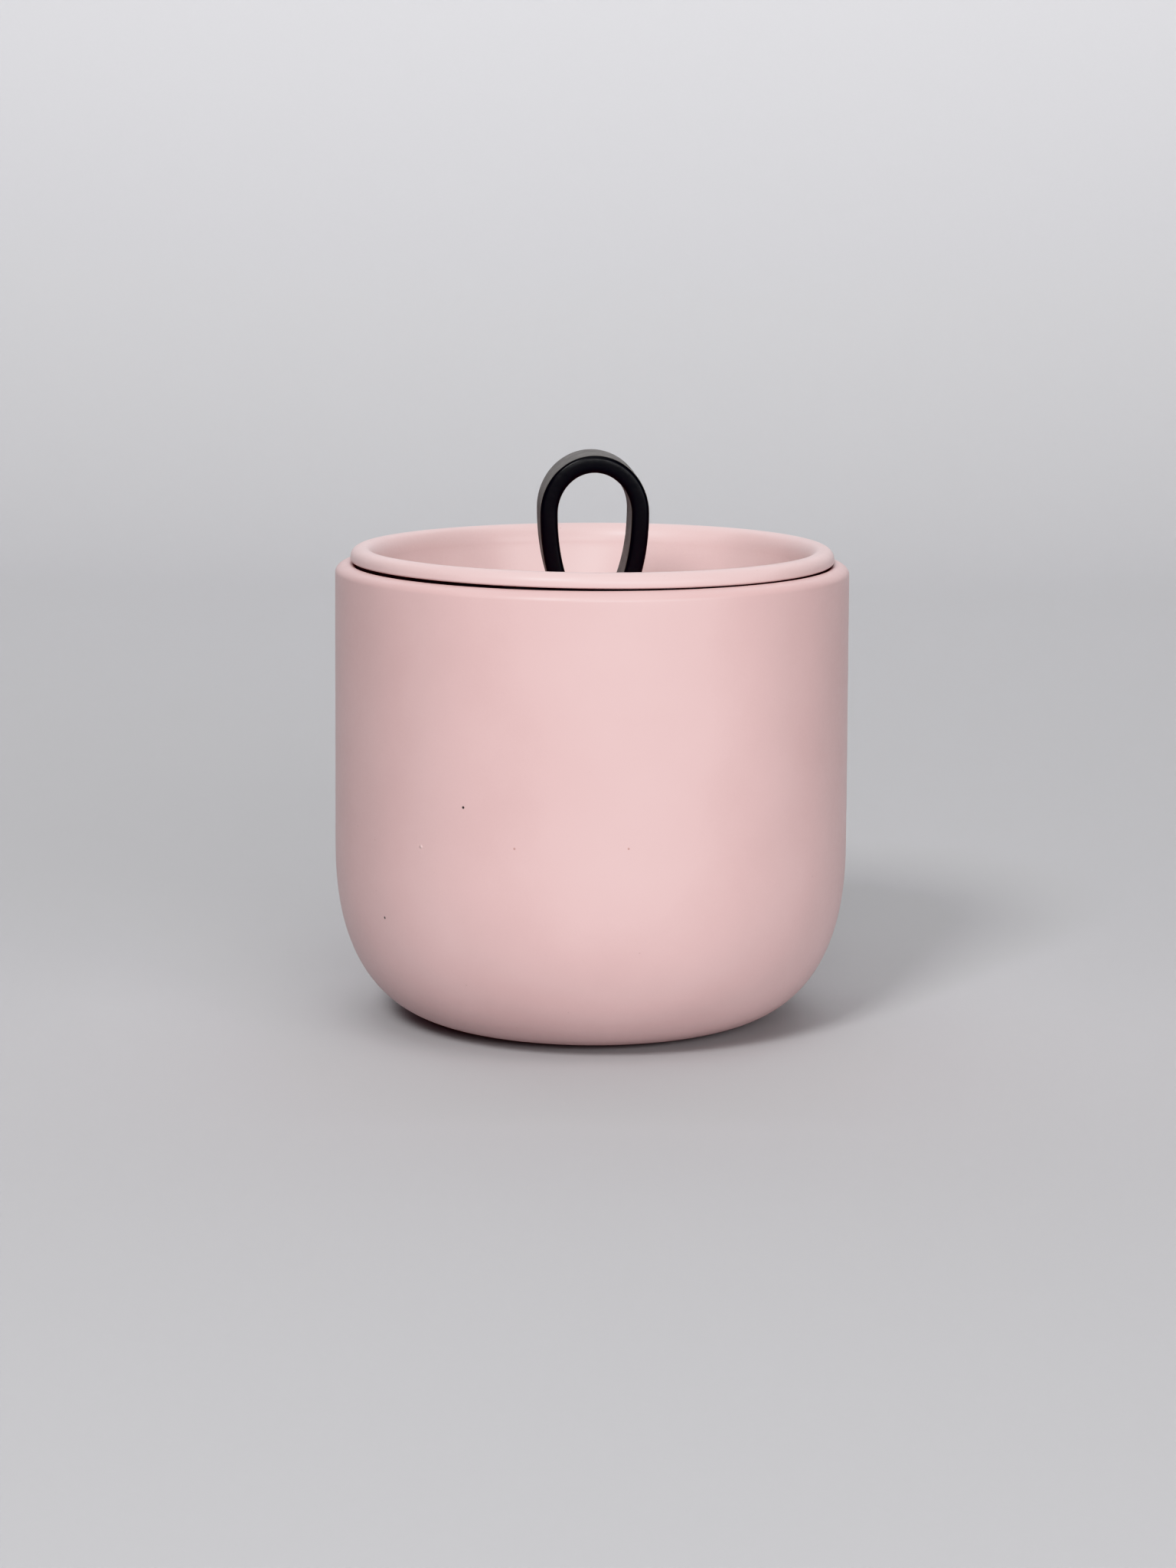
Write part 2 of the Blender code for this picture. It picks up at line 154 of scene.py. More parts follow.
# The strap's faces are painted grey: painted sheen for their grazing reflection, with wear varying the
# tone.
GRAIN_GREY_PAINTED_SHEEN = (0.120, 0.113, 0.109)
GRAIN_WORN_AND_PAINTED_SHEEN = (0.185, 0.174, 0.167)
LINT = (0.42, 0.41, 0.40)
DUST = (0.07, 0.065, 0.065)
NICKEL = (0.62, 0.60, 0.57)
NICKEL_DULL = (0.34, 0.32, 0.29)
PAPER_LOW = (0.472, 0.470, 0.482)
PAPER_PAINTED_LIGHT = (0.735, 0.732, 0.758)
PAPER_GRAIN = (0.40, 0.40, 0.41)
PAPER_PAINTED_LIGHT_RISE = 0.5                    # height at which the painted light on the paper is at its brightest
ROOM = (1.0, 0.95, 0.92)
ROOM_STRENGTH = 0.015

# ---- stage and lights -------------------------------------------------------------------------------
SWEEP_NEAR = -1.6
SWEEP_FAR = 1.25
SWEEP_HEIGHT = 2.4
SWEEP_BEND = 0.55
SWEEP_HALF = 2.4

# name, azimuth and elevation in degrees, distance, size, watts
LIGHTS = (
    ("key_left", -22, 38, 1.8, (0.4, 0.4), 18.5),
    ("low_front", 8, 16, 1.8, (0.9, 0.5), 15.0),
    ("top_front", 8, 62, 1.5, (1.2, 0.8), 4.2),
    ("low_right", 38, 12, 1.8, (1.0, 0.6), 10.5),
    ("overhead", 0, 88, 1.5, (1.4, 1.4), 5.8),
)
WASH_SIZE = (2.0, 0.6)
WASH_POWER = 16.8
WASH_PLACE = (0.0, 0.55, 1.5)
WASH_TILT = math.radians(60)


# ---- frame --------------------------------------------------------------------------------------------
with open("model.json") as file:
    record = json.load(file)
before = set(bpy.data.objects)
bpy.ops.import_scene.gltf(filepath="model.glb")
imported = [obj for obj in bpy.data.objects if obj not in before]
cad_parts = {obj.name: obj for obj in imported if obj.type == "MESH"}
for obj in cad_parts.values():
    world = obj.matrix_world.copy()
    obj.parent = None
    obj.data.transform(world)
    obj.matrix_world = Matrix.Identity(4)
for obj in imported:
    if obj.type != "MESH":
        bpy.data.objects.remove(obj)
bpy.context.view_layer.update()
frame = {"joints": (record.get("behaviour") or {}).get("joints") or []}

JAR_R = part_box("jar_body")[1].x
RIM_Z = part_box("jar_body")[1].z
LIP_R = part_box("lid_dish")[1].x
LIP_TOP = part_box("lid_dish")[1].z
LIP_UNDER = LIP_TOP - LIP_THICK
DISH_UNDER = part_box("lid_dish")[0].z
FLOOR_Z = DISH_UNDER + DISH_FLOOR
SEAL_LOW, SEAL_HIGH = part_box("seal_ring")
STRAP_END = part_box("strap_end_left")[0].z
SCREW_Z = (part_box("screw_post")[0].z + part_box("screw_post")[1].z) / 2
HEAD_R = (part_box("screw_post")[1].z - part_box("screw_post")[0].z) / 2
LEAN = next(joint for joint in frame["joints"] if joint["name"] == "handle_lean")
PINCH_Z = LEAN["pos_m"][2]
HANDLE_TURN = math.atan2(-LEAN["axis"][0], LEAN["axis"][1])


def handle_matrix(height):
    """The handle's frame at a height: X across the strap's faces, Y along its width."""
    return Matrix.Translation((0, 0, height)) @ Matrix.Rotation(HANDLE_TURN, 4, "Z")


# ---- mesh helpers -------------------------------------------------------------------------------------
def ellipse_arc(centre, size, start_deg, end_deg, steps, power=2.0):
    """Points of a (super)ellipse between two angles, counted from the outward direction."""
    points = []
    for step in range(steps + 1):
        angle = math.radians(start_deg + (end_deg - start_deg) * step / steps)
        across = math.copysign(abs(math.cos(angle)) ** (2 / power), math.cos(angle))
        up = math.copysign(abs(math.sin(angle)) ** (2 / power), math.sin(angle))
        points.append((centre[0] + size[0] * across, centre[1] + size[1] * up))
    return points


def fine(outline, longest):
    """The outline with extra points, so that no step of it is longer than a length."""
    points = [outline[0]]
    for end in outline[1:]:
        start = points[-1]
        length = math.dist(start, end)
        if length < 0.005 * MM:
            continue
        count = max(1, math.ceil(length / longest))
        for step in range(1, count + 1):
            share = step / count
            points.append(tuple(a + (b - a) * share for a, b in zip(start, end)))
    return points


def lathe(name, outline, steps, closed=False, shape=None):
    """A body of revolution about Z. shape may move each point: shape(angle, radius, height)."""
    mesh = bpy.data.meshes.new(name)
    body = bmesh.new()
    rings = []
    for radius, height in outline:
        if radius < 0.01 * MM:
            rings.append([body.verts.new((0, 0, height))])
            continue
        ring = []
        for step in range(steps):
            angle = 2 * math.pi * step / steps
            r, z = shape(angle, radius, height) if shape else (radius, height)
            ring.append(body.verts.new((r * math.cos(angle), r * math.sin(angle), z)))
        rings.append(ring)
    pairs = list(zip(rings, rings[1:]))
    if closed:
        pairs.append((rings[-1], rings[0]))
    for first, second in pairs:
        join_rings(body, first, second)
    bmesh.ops.recalc_face_normals(body, faces=body.faces)
    body.to_mesh(mesh)
    body.free()
    mesh.shade_smooth()
    piece = bpy.data.objects.new(name, mesh)
    bpy.context.scene.collection.objects.link(piece)
    return piece


def join_rings(body, first, second):
    """Faces between two rings of points, either of which may be a single point."""
    count = max(len(first), len(second))
    for step in range(count):
        following = (step + 1) % count
        if len(first) == 1:
            body.faces.new((first[0], second[following], second[step]))
        elif len(second) == 1:
            body.faces.new((first[step], first[following], second[0]))
        else:
            body.faces.new((first[step], first[following], second[following], second[step]))


def loft(name, rings):
    """A closed body through rings of points with equal counts, its ends capped."""
    mesh = bpy.data.meshes.new(name)
    body = bmesh.new()
    made = [[body.verts.new(point) for point in ring] for ring in rings]
    for first, second in zip(made, made[1:]):
        join_rings(body, first, second)
    body.faces.new(made[0])
    body.faces.new(made[-1])
    bmesh.ops.recalc_face_normals(body, faces=body.faces)
    body.to_mesh(mesh)
    body.free()
    piece = bpy.data.objects.new(name, mesh)
    bpy.context.scene.collection.objects.link(piece)
    return piece


def rounded_rectangle(half_x, half_y, corner, steps):
    """Points round a rectangle with round corners, each corner with this many steps."""
    points = []
    centres = ((1, 1, 0), (-1, 1, 90), (-1, -1, 180), (1, -1, 270))
    for side_x, side_y, start in centres:
        centre = (side_x * (half_x - corner), side_y * (half_y - corner))
        points += ellipse_arc(centre, (corner, corner), start, start + 90, steps)
    return points


def cut_with(piece, cutter):
    """Cuts the cutter out of the piece, applies the cut and removes the cutter."""
    hole = piece.modifiers.new("cut", "BOOLEAN")
    hole.operation = "DIFFERENCE"
    hole.solver = "EXACT"
    hole.object = cutter
    bpy.context.view_layer.update()
    graph = bpy.context.evaluated_depsgraph_get()
    mesh = bpy.data.meshes.new_from_object(piece.evaluated_get(graph))
    piece.modifiers.clear()
    piece.data = mesh
    bpy.data.objects.remove(cutter, do_unlink=True)


def show(piece, body, replaced, slot_name, *materials):
    """Gives a piece its materials and its CAD body, and hides the nodes that it stands for. slot_name is
    not used.
    """
    piece.data.materials.clear()
    for material in materials:
        piece.data.materials.append(material)
    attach(piece, body)
    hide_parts(*replaced)


# ---- node helpers -------------------------------------------------------------------------------------
def add(tree, kind, inputs=None, **settings):
    """A new node with its settings; an input is a value or the output that feeds it."""
    made = tree.nodes.new(kind)
    for name, value in settings.items():
        setattr(made, name, value)
    for name, value in (inputs or {}).items():
        if isinstance(value, bpy.types.NodeSocket):
            tree.links.new(value, made.inputs[name])
        else:
            made.inputs[name].default_value = value
    return made


def new_material(name):
    """A material with its node tree and Principled shader."""
    material = bpy.data.materials.new(name)
    material.use_nodes = True
    return material, material.node_tree, material.node_tree.nodes["Principled BSDF"]


def coordinates(tree):
    """Places in the piece's own frame, in metres."""
    return add(tree, "ShaderNodeTexCoord").outputs["Object"]


def from_point(tree, place, centre):
    """Distance from a point."""
    inputs = {0: place, 1: centre}
    return add(tree, "ShaderNodeVectorMath", inputs, operation="DISTANCE").outputs["Value"]


def noise_value(tree, place, scale, detail=3.0, roughness=0.5):
    """Soft noise with this many features to the metre."""
    inputs = {"Vector": place, "Scale": scale, "Detail": detail, "Roughness": roughness}
    return add(tree, "ShaderNodeTexNoise", inputs).outputs[0]


def ranged(tree, value, start, end, low=0.0, high=1.0, smooth=False):
    """Value mapped from start..end to low..high."""
    inputs = {"Value": value, "From Min": start, "From Max": end, "To Min": low, "To Max": high}
    kind = "SMOOTHSTEP" if smooth else "LINEAR"
    return add(tree, "ShaderNodeMapRange", inputs, interpolation_type=kind).outputs[0]


def maths(tree, operation, first, second=0.0):
    return add(tree, "ShaderNodeMath", {0: first, 1: second}, operation=operation).outputs[0]


def mixed(tree, factor, first, second):
    """Colour between two colours, each a value or an output."""
    first = (*first, 1.0) if isinstance(first, tuple) else first
    second = (*second, 1.0) if isinstance(second, tuple) else second
    inputs = {0: factor, 6: first, 7: second}
    return add(tree, "ShaderNodeMix", inputs, data_type="RGBA").outputs[2]


def bumped(tree, height, distance, under=None):
    """Normals of a height times a distance, on top of the normals under it."""
    inputs = {"Height": height, "Distance": distance, "Strength": 1.0}
    if under:
        inputs["Normal"] = under
    return add(tree, "ShaderNodeBump", inputs).outputs[0]


def feed(tree, shader, **inputs):
    """Links outputs to the shader's sockets; underscores in a name stand for spaces."""
    for name, value in inputs.items():
        tree.links.new(value, shader.inputs[name.replace("_", " ")])


# ---- materials ----------------------------------------------------------------------------------------
def glaze_material(name, pinks, specks=(), pimples=()):
    """Satin stoneware glaze: cloudy pink, fine grain, sparse pits, iron specks and raised pimples.

    A speck is (centre, radius, colour) and a pimple is (centre, radius).
    """
    material, tree, shader = new_material(name)
    place = coordinates(tree)
    cloud = noise_value(tree, place, 42.0, 4.0)
    grain = noise_value(tree, place, 2600.0, 2.0)
    colour = mixed(tree, ranged(tree, cloud, 0.3, 0.7), *pinks)
    grain_shade = ranged(tree, grain, 0.25, 0.75, 0.0, 0.09)
    colour = mixed(tree, grain_shade, colour, PINK_GRAIN)
    cells = add(tree, "ShaderNodeTexVoronoi", {"Vector": place, "Scale": 520.0})
    chosen = ranged(tree, cells.outputs["Color"], 0.90, 0.91)
    dot = ranged(tree, cells.outputs["Distance"], 0.05, 0.11, 1.0, 0.0)
    pits = maths(tree, "MULTIPLY", chosen, dot)
    colour = mixed(tree, maths(tree, "MULTIPLY", pits, 0.35), colour, PINK_PIT)
    for centre, radius, tint in specks:
        away = from_point(tree, place, centre)
        mask = ranged(tree, away, radius, 0.5 * radius, 0.0, 1.0, smooth=True)
        colour = mixed(tree, mask, colour, tint)
    swellings = []
    for centre, radius in pimples:
        away = from_point(tree, place, centre)
        swelling = ranged(tree, away, radius, 0.0, 0.0, 1.0, smooth=True)
        colour = mixed(tree, maths(tree, "MULTIPLY", swelling, 0.5), colour, PINK_THIN)
        swellings.append(swelling)
    waves = noise_value(tree, place, 260.0, 2.0)
    surface = bumped(tree, waves, 0.02 * MM)
    surface = bumped(tree, grain, 0.01 * MM, surface)
    surface = bumped(tree, pits, -0.03 * MM, surface)
    for swelling in swellings:
        surface = bumped(tree, swelling, 0.16 * MM, surface)
    gloss = ranged(tree, noise_value(tree, place, 900.0, 3.0), 0.3, 0.7, 0.42, 0.49)
    feed(tree, shader, Base_Color=colour, Roughness=gloss, Normal=surface)
    shader.inputs["Specular IOR Level"].default_value = 0.8
    shader.inputs["Coat Weight"].default_value = 0.15
    shader.inputs["Coat Roughness"].default_value = 0.2
    return material


def clay_material():
    """Bare fired stoneware on the foot: dull, gritty, with turning marks."""
    material, tree, shader = new_material("bare_stoneware")
    place = coordinates(tree)
    grit = noise_value(tree, place, 1500.0, 4.0, 0.7)
    patch = noise_value(tree, place, 120.0, 3.0)
    colour = mixed(tree, ranged(tree, patch, 0.3, 0.7), CLAY, CLAY_PALE)
    colour = mixed(tree, ranged(tree, grit, 0.62, 0.75), colour, CLAY_GRIT)
    gloss = ranged(tree, grit, 0.3, 0.7, 0.82, 0.95)
    surface = bumped(tree, grit, 0.06 * MM)
    feed(tree, shader, Base_Color=colour, Roughness=gloss, Normal=surface)
    return material


def silicone_material():
    """Matte black silicone with a fine moulded skin and a little dust."""
    material, tree, shader = new_material("black_silicone")
    place = coordinates(tree)
    skin = noise_value(tree, place, 3000.0, 2.0)
    dust = noise_value(tree, place, 700.0, 5.0, 0.65)
    colour = mixed(tree, ranged(tree, dust, 0.60, 0.80, 0.0, 0.25), BLACK, DUST)
    gloss = ranged(tree, skin, 0.3, 0.7, 0.55, 0.70)
    feed(tree, shader, Base_Color=colour, Roughness=gloss, Normal=bumped(tree, skin, 0.01 * MM))
    return material


def leather_material():
    """Black strap leather: pebbled faces, smooth painted edges and some lint.

    The map "strap" runs round the strap's section and along it, and the map "section" is the place
    in the section, all in metres.
    """
    material, tree, shader = new_material("black_leather")
    place = add(tree, "ShaderNodeUVMap", uv_map="strap").outputs[0]
    section = add(tree, "ShaderNodeUVMap", uv_map="section").outputs[0]
    width = maths(tree, "ABSOLUTE", add(tree, "ShaderNodeSeparateXYZ", {0: section}).outputs[1])
    edge = ranged(tree, width, STRAP_WIDTH / 2 - 0.58 * MM, STRAP_WIDTH / 2 - 0.36 * MM, smooth=True)
    face = maths(tree, "SUBTRACT", 1.0, edge)
    pebbles = add(tree, "ShaderNodeTexVoronoi", {"Vector": place, "Scale": 1500.0}, feature="F1")
    pebble = ranged(tree, pebbles.outputs["Distance"], 0.1, 0.75, 1.0, 0.0)
    fibre = noise_value(tree, place, 900.0, 4.0, 0.6)
    wear = noise_value(tree, place, 160.0, 4.0)
    # Painted sheen: the faces are painted grey for their grazing reflection; the wear noise varies the
    # tone at random.
    colour = mixed(tree, ranged(tree, wear, 0.35, 0.75), GRAIN_GREY_PAINTED_SHEEN, GRAIN_WORN_AND_PAINTED_SHEEN)
    colour = mixed(tree, edge, colour, BLACK)
    lint_cells = add(tree, "ShaderNodeTexVoronoi", {"Vector": place, "Scale": 420.0})
    lint_chosen = ranged(tree, lint_cells.outputs["Color"], 0.955, 0.96)
    lint_dot = ranged(tree, lint_cells.outputs["Distance"], 0.03, 0.09, 1.0, 0.0)
    lint = maths(tree, "MULTIPLY", lint_chosen, lint_dot)
    colour = mixed(tree, maths(tree, "MULTIPLY", lint, 0.5), colour, LINT)
    face_gloss = ranged(tree, fibre, 0.3, 0.7, 0.52, 0.64)
    edge_gloss = ranged(tree, fibre, 0.3, 0.7, 0.30, 0.38)
    gloss = add(tree, "ShaderNodeMix", {0: edge, 2: face_gloss, 3: edge_gloss}).outputs[0]
    surface = bumped(tree, maths(tree, "MULTIPLY", pebble, face), 0.045 * MM)
    surface = bumped(tree, fibre, 0.03 * MM, surface)
    feed(tree, shader, Base_Color=colour, Roughness=gloss, Normal=surface)
    shader.inputs["Specular IOR Level"].default_value = 0.18
    return material


def nickel_material():
    """Nickel-plated steel with fine turning lines round the post's axis and a few dull marks."""
    material, tree, shader = new_material("nickel_plate")
    place = coordinates(tree)
    parts = add(tree, "ShaderNodeSeparateXYZ", {0: place})
    flat = add(tree, "ShaderNodeCombineXYZ", {0: parts.outputs[0], 1: parts.outputs[1]})
    radius = add(tree, "ShaderNodeVectorMath", {0: flat.outputs[0]}, operation="LENGTH").outputs["Value"]
    ring_place = add(tree, "ShaderNodeCombineXYZ", {0: radius, 1: parts.outputs[2]}).outputs[0]
    lines = noise_value(tree, ring_place, 6000.0, 2.0)
    marks = noise_value(tree, place, 800.0, 5.0, 0.7)
    colour = mixed(tree, ranged(tree, marks, 0.55, 0.8, 0.0, 0.5), NICKEL, NICKEL_DULL)
    gloss = ranged(tree, marks, 0.35, 0.75, 0.22, 0.42)
    feed(tree, shader, Base_Color=colour, Roughness=gloss, Normal=bumped(tree, lines, 0.012 * MM))
    shader.inputs["Metallic"].default_value = 1.0
    return material


# ---- jar ----------------------------------------------------------------------------------------------
def wall_point(angle_deg, height):
    """A place on the jar's outer wall or on the curve under it."""
    angle = math.radians(angle_deg)
    low = FOOT_HEIGHT + BOTTOM_CURVE[1]
    share = (height - low) / (RIM_Z - RIM_OUTER[1] - low)
    drop = max(low - height, 0.0) / BOTTOM_CURVE[1]
    under = BOTTOM_CURVE[0] * (1 - (1 - drop ** BOTTOM_POWER) ** (1 / BOTTOM_POWER))
    radius = JAR_R - WALL_TAPER_OUT * max(share, 0.0) - under
    return (radius * math.cos(angle), radius * math.sin(angle), height)


# Angles are counted from +X, so that the front is at -90 degrees.
JAR_SPECKS = (
    (wall_point(-118.3, 49.2 * MM), 0.34 * MM, SPECK),
    (wall_point(-141.9, 25.6 * MM), 0.34 * MM, SPECK),
    (wall_point(-106.4, 42.2 * MM), 0.28 * MM, FAINT_SPECK),
    (wall_point(-82.0, 42.6 * MM), 0.28 * MM, FAINT_SPECK),
)


JAR_PIMPLES = ((wall_point(-129.4, 40.8 * MM), 0.5 * MM),)


def jar_outline():
    """From the middle of the inner floor, up the inside, over the rim, down and under."""
    inner_centre = (WALL_INNER_LOW_R - INNER_CURVE[0], INNER_FLOOR_Z + INNER_CURVE[1])
    inside = ellipse_arc(inner_centre, INNER_CURVE, -90, 0, 36, BOTTOM_POWER)
    crest_r = JAR_R - WALL_TAPER_OUT - RIM_OUTER[0]
    rim_inner = ellipse_arc((crest_r, RIM_Z - RIM_INNER[1]), RIM_INNER, 180, 90, 14)
    rim_outer = ellipse_arc((crest_r, RIM_Z - RIM_OUTER[1]), RIM_OUTER, 90, 0, 16)
    outer_centre = (JAR_R - BOTTOM_CURVE[0], FOOT_HEIGHT + BOTTOM_CURVE[1])
    outside = ellipse_arc(outer_centre, BOTTOM_CURVE, 0, -90, 44, BOTTOM_POWER)
    foot = [
        (FOOT_R[1], FOOT_HEIGHT / 2),
        (FOOT_R[1] - FOOT_EDGE / 2, FOOT_EDGE / 2),
        (FOOT_R[1] - FOOT_EDGE, 0.0),
        (FOOT_R[0] + FOOT_EDGE, 0.0),
        (FOOT_R[0], FOOT_EDGE),
        (FOOT_R[0] - FOOT_EDGE, BASE_RECESS),
        (0.0, BASE_RECESS),
    ]
    outline = [(0.0, INNER_FLOOR_Z)] + inside + rim_inner + rim_outer + outside + foot
    return fine(outline, longest=1.5 * MM)


def turning_waves(angle, radius, height):
    """Faint rings left by turning, with a slow swell round the jar. The foot stays flat."""
    if radius < FOOT_R[1] + 1 * MM:
        return radius, height
    drift = WAVE_DRIFT * math.cos(angle + height * 40)
    wave = noise.noise(Vector((0.0, 3.1, (height + drift) * WAVES_PER_M)))
    swell = noise.noise(Vector((math.cos(angle), math.sin(angle), height * SWELLS_PER_M)))
    return radius + WALL_WAVES * (wave + 1.5 * swell), height


def build_jar(glaze, clay):
    """The jar in glaze, with bare clay on the foot ring and in the recess inside it."""
    jar = lathe("jar", jar_outline(), 288, shape=turning_waves)
    show(jar, "jar", ["jar_body"], "jar_glaze", glaze, clay)
    for face in jar.data.polygons:
        middle = face.center
        low = middle.z < FOOT_HEIGHT * 0.8
        recess = middle.z < BASE_RECESS + 0.1 * MM and middle.xy.length < FOOT_R[0]
        if low or recess:
            face.material_index = 1
    return jar


# ---- lid ----------------------------------------------------------------------------------------------
def dish_radius(height):
    """The inner radius of the dish's sloping wall."""
    return DISH_WALL_R - (LIP_TOP - LIP_INNER[1] - height) * math.tan(DISH_TAPER)


def lid_outline():
    """From the middle of the dish, up its wall, over the lip, past the seal's groove and under."""
    taper_deg = math.degrees(DISH_TAPER)
    centre_z = FLOOR_Z + DISH_CURVE
    tangent_z = centre_z - DISH_CURVE * math.sin(DISH_TAPER)
    centre = (dish_radius(tangent_z) - DISH_CURVE * math.cos(DISH_TAPER), centre_z)
    dish = ellipse_arc(centre, (DISH_CURVE, DISH_CURVE), -90, -taper_deg, 18)
    flare_centre = (DISH_WALL_R + LIP_INNER[0], LIP_TOP - LIP_INNER[1])
    flare = ellipse_arc(flare_centre, LIP_INNER, 180, 90, 16)
    lip = ellipse_arc((LIP_R - LIP_OUTER[0], LIP_TOP - LIP_OUTER[1]), LIP_OUTER, 90, 0, 16)
    low_centre = (LIP_R - LIP_LOWER, LIP_UNDER + LIP_LOWER)
    low_lip = ellipse_arc(low_centre, (LIP_LOWER, LIP_LOWER), 0, -90, 6)
    groove_z = SEAL_LOW.z - GROOVE_GAP
    neck_z = groove_z - NECK_DROP
    foot_z = neck_z - NECK_FOOT
    neck = [
        (GROOVE_R + GROOVE_EDGE, LIP_UNDER),
        (GROOVE_R, LIP_UNDER - GROOVE_EDGE),
        (GROOVE_R, groove_z),
        (NECK_R - NECK_EDGE, groove_z),
        (NECK_R, groove_z - NECK_EDGE),
        (NECK_R, neck_z),
        (dish_radius(foot_z) + DISH_WALL / math.cos(DISH_TAPER), foot_z),
    ]
    under_size = (DISH_CURVE + DISH_WALL, DISH_CURVE + DISH_FLOOR)
    under = ellipse_arc(centre, under_size, -taper_deg, -90, 18)
    outline = [(0.0, FLOOR_Z)] + dish + flare + lip + low_lip + neck + under + [(0.0, DISH_UNDER)]
    return fine(outline, longest=1.2 * MM)


def fired_warp(angle, radius, height):
    """The lip rises and falls twice on its way round."""
    share = min(max((radius - DISH_WALL_R) / (LIP_R - DISH_WALL_R), 0.0), 1.0)
    over = 1.0 if height > LIP_UNDER - GROOVE_EDGE / 2 else 0.0
    return radius, height + over * share * LIP_WARP * math.sin(2 * angle)


def slot_cutter():
    """The strap's slot through the dish's floor, wider at both faces so that its edges are round."""
    half_x = STRAP_THICK + SLOT_PLAY[0]
    half_y = STRAP_WIDTH / 2 + SLOT_PLAY[1]
    levels = []
    for step in range(7):
        angle = math.radians(90 * step / 6)
        levels.append((SLOT_EASE * (1 - math.cos(angle)), SLOT_EASE * (1 - math.sin(angle))))
    upper = [(wider, FLOOR_Z - deep) for wider, deep in reversed(levels)]
    lower = [(wider, DISH_UNDER + deep) for wider, deep in levels]
    past = SLOT_EASE + 0.05 * MM
    heights = [(past, FLOOR_Z + 0.5 * MM)] + upper + lower + [(past, DISH_UNDER - 0.5 * MM)]
    rings = []
    for wider, height in heights:
        flat = rounded_rectangle(half_x + wider, half_y + wider, SLOT_CORNER + wider, 6)
        place = handle_matrix(height)
        rings.append([place @ Vector((x, y, 0)) for x, y in flat])
    return loft("slot_cutter", rings)


def build_lid(glaze):
    lid = lathe("lid", lid_outline(), 288, shape=fired_warp)
    cut_with(lid, slot_cutter())
    lid.data.shade_smooth()
    show(lid, "lid", ["lid_dish"], "lid_glaze", glaze)
    return lid


# ---- seal ---------------------------------------------------------------------------------------------
def seal_outline():
    """A sleeve in the lid's groove with two soft fins and a lip over the jar's rim."""
    inner = GROOVE_R + SEAL_PLAY
    sleeve = inner + SLEEVE_THICK
    top = LIP_UNDER - SEAL_PLAY
    low = SEAL_LOW.z
    outline = [(inner, top)]
    outline += [(SEAL_HIGH.x + out, top - down) for out, down in SEAL_LIP]
    outline += [(sleeve + LIP_ROOT[0], top - LIP_ROOT[1])]
    for level in FIN_LEVELS:
        middle = low + level * (top - low)
        outline += [(sleeve + out, middle + up) for out, up in FIN]
    outline += [(sleeve, low + SLEEVE_EDGE), (sleeve - SLEEVE_EDGE, low), (inner, low)]
    return fine(outline, longest=0.5 * MM)


def build_seal(silicone):
    seal = lathe("seal", seal_outline(), 240, closed=True)
    show(seal, "seal", ["seal_ring"], "seal_silicone", silicone)
    return seal


# ---- strap --------------------------------------------------------------------------------------------
def strap_path():
    """The strap's middle line as (across, height): up one leg, round the loop and down the other."""
    meet = (STRAP_THICK + STRAP_GAP) / 2
    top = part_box("handle_loop")[1].z - STRAP_THICK / 2
    widest = top - LOOP_CROWN + STRAP_THICK / 2
    rise = widest - PINCH_Z
    leg = [(meet, STRAP_END), (meet, PINCH_Z)]
    steps = 48
    for step in range(1, steps):
        t = step / steps
        low_weight = 3 * (1 - t) ** 2 * t
        high_weight = 3 * (1 - t) * t ** 2
        across = meet + (LOOP_HALF - meet) * (high_weight + t ** 3)
        height = low_weight * LOW_PULL + high_weight * (rise - HIGH_PULL) + t ** 3 * rise
        leg.append((across, PINCH_Z + height))
    arch = ellipse_arc((0.0, widest), (LOOP_HALF, top - widest), 0, 180, 84)
    other = [(-across, height) for across, height in reversed(leg)]
    return fine(leg + arch + other, longest=0.6 * MM)


def strap_section(inset):
    """Round the strap's section as (through, along the width): eased corners and domed cut edges."""
    half_x = STRAP_THICK / 2
    half_y = STRAP_WIDTH / 2 - STRAP_DOME
    outline = rounded_rectangle(half_x, half_y, STRAP_EDGE, 6)
    section = []
    for x, y in fine(outline + [outline[0]], longest=0.6 * MM)[:-1]:
        dome = STRAP_DOME * (1 - (x / half_x) ** 2) * (y / half_y) ** 8
        width = y + math.copysign(dome, y)
        section.append((x * (1 - inset / half_x), width * (1 - inset / half_y)))
    return section


def strap_rings():
    """(place along the strap, inset, point, direction) for each ring, with rounded ends."""
    path = strap_path()
    rings = []
    along = 0.0
    last = len(path) - 1
    for index, point in enumerate(path):
        before = Vector(path[max(index - 1, 0)])
        after = Vector(path[min(index + 1, last)])
        if index:
            along += math.dist(path[index - 1], point)
        rings.append((along, 0.0, Vector(point), (after - before).normalized()))
    for end, sign in ((0, -1), (-1, 1)):
        base_along, _, point, direction = rings[end]
        caps = []
        for step in range(1, 5):
            angle = math.radians(90 * step / 4)
            inset = STRAP_EDGE * (1 - math.cos(angle))
            reach = STRAP_EDGE * math.sin(angle)
            moved = point + direction * sign * (reach - STRAP_EDGE)
            caps.append((base_along + sign * reach, inset, moved, direction))
        straight = (base_along, 0.0, point - direction * sign * STRAP_EDGE, direction)
        if end == 0:
            rings[0] = straight
            rings = list(reversed(caps)) + rings
        else:
            rings[-1] = straight
            rings = rings + caps
    return rings


def build_strap(leather):
    """One strap for the loop and both ends."""
    strap = sweep_strap()
    cut_with(strap, post_hole_cutter())
    strap.data.shade_smooth()
    strap.data.materials.clear()
    strap.data.materials.append(leather)
    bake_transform(strap)
    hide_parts("handle_loop", "strap_end_left", "strap_end_right")
    return strap


